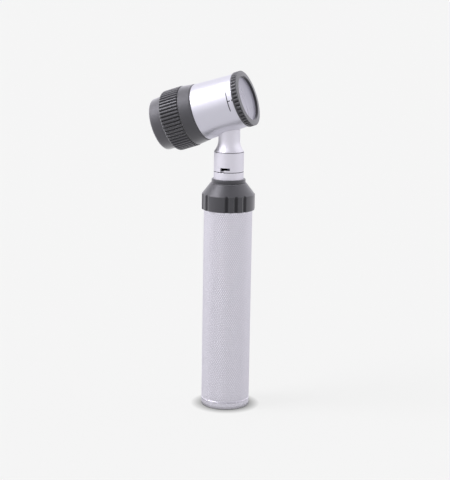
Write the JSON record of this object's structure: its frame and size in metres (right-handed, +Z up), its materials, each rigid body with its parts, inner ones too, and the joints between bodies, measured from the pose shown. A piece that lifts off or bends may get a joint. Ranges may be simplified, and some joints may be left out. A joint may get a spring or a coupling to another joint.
{
  "type": "dermatoscope",
  "caption": "Hand-held skin magnifier with a knurled battery handle, a dimmer ring, a bayonet head with tilted barrel, focusing eyepiece and glass contact plate.",
  "frame": {"origin": "centre of the handle's flat bottom", "axes": "+Z up the handle, +X to the side the contact plate faces; the head's optical axis lies in the XZ plane"},
  "size_m": [0.0624, 0.0352, 0.1957],
  "materials": {
    "satin_chrome": "fine diamond knurl, satin",
    "silver_matt": "bead-blasted satin chrome",
    "barrel_satin": "satin anodised",
    "black_satin": "satin black moulding",
    "black_anodised": "black anodised, satin",
    "rubber_black": "matt",
    "glass_clear": "coated, clear",
    "lens_glass": "polished, coated",
    "bulb_glass": "clear",
    "brass": "turned",
    "nickel": "nickel plated",
    "blued_steel": "blued",
    "spring_steel": "drawn wire",
    "insulator": "moulded",
    "pale_insulator": "moulded",
    "track": "carbon film on laminate",
    "cell_jacket": "lacquered sleeve",
    "mark_black": "enamel fill",
    "matt_black_metal": "anti-glare black"
  },
  "bodies": {
    "handle": {"battery_tube": "satin_chrome", "cell_lower": "cell_jacket", "cell_upper": "cell_jacket", "battery_contact": "brass", "contact_bush": "insulator", "pin_spring": "spring_steel", "bayonet_spigot": "silver_matt", "bayonet_pins": "blued_steel", "stop_pin": "nickel", "resistor_track": "track", "retaining_collar": "black_satin"},
    "cap_follower": {"battery_spring": "spring_steel"},
    "cap": {"base_cap": "satin_chrome"},
    "dimmer": {"rheostat_ring": "black_satin", "wiper": "brass"},
    "centre_contact": {"contact_pin": "brass"},
    "head": {"bayonet_socket": "silver_matt", "neck_stem": "silver_matt", "lamp_base": "nickel", "lamp_insulator": "pale_insulator", "lamp_contact": "brass", "lamp_bulb": "bulb_glass", "lamp_filament": "spring_steel", "barrel": "barrel_satin", "index_mark": "mark_black", "barrel_seal": "rubber_black", "eyepiece_mount": "black_anodised", "light_baffle": "matt_black_metal"},
    "lens_carriage": {"lens_cell": "matt_black_metal", "guide_keys": "nickel", "front_lens": "lens_glass", "ocular_lens": "lens_glass", "lens_spacer": "matt_black_metal", "lens_retainer": "matt_black_metal", "cell_clip": "spring_steel"},
    "focus": {"focus_ring": "black_satin", "eyecup": "rubber_black"},
    "plate_seal": {"plate_o_ring": "rubber_black"},
    "contact_plate": {"contact_ring": "black_satin", "contact_glass": "glass_clear", "glass_retainer": "matt_black_metal"}
  },
  "joints": [
    {"name": "cap_travel", "type": "slide", "parent": "handle", "child": "cap_follower", "axis": [0, 0, -1], "range_m": [0, 0.00501]},
    {"name": "cap_turn", "type": "hinge", "parent": "cap_follower", "child": "cap", "pos_m": [0, 0, 0], "axis": [0, 0, -1], "range_deg": [0, 1800]},
    {"name": "dimmer_turn", "type": "hinge", "parent": "handle", "child": "dimmer", "pos_m": [0, 0, 0.125], "axis": [0, 0, 1], "range_deg": [0, 110]},
    {"name": "contact_press", "type": "slide", "parent": "handle", "child": "centre_contact", "axis": [0, 0, -1], "range_m": [0, 0.001], "deforming": ["pin_spring"]},
    {"name": "head_twist", "type": "hinge", "parent": "handle", "child": "head", "pos_m": [0, 0, 0.14], "axis": [0, 0, 1], "range_deg": [0, 24]},
    {"name": "focus_travel", "type": "slide", "parent": "head", "child": "lens_carriage", "axis": [-0.9483, 0, -0.3173], "range_m": [-0.0004, 0.0032]},
    {"name": "focus_turn", "type": "hinge", "parent": "lens_carriage", "child": "focus", "pos_m": [0, 0, 0.17705], "axis": [-0.9483, 0, -0.3173], "range_deg": [-20.05, 160.05]},
    {"name": "plate_pull", "type": "slide", "parent": "head", "child": "plate_seal", "axis": [0.9483, 0, 0.3173], "range_m": [0, 0.007]},
    {"name": "plate_turn", "type": "hinge", "parent": "plate_seal", "child": "contact_plate", "pos_m": [0, 0, 0.17705], "axis": [0.9483, 0, 0.3173], "range_deg": [-21.5, 21.5]}
  ],
  "couplings": [
    {"joint": "cap_travel", "follows": "cap_turn", "m_per_rad": 0.00015915},
    {"joint": "focus_turn", "follows": "focus_travel", "rad_per_m": 872.66}
  ]
}
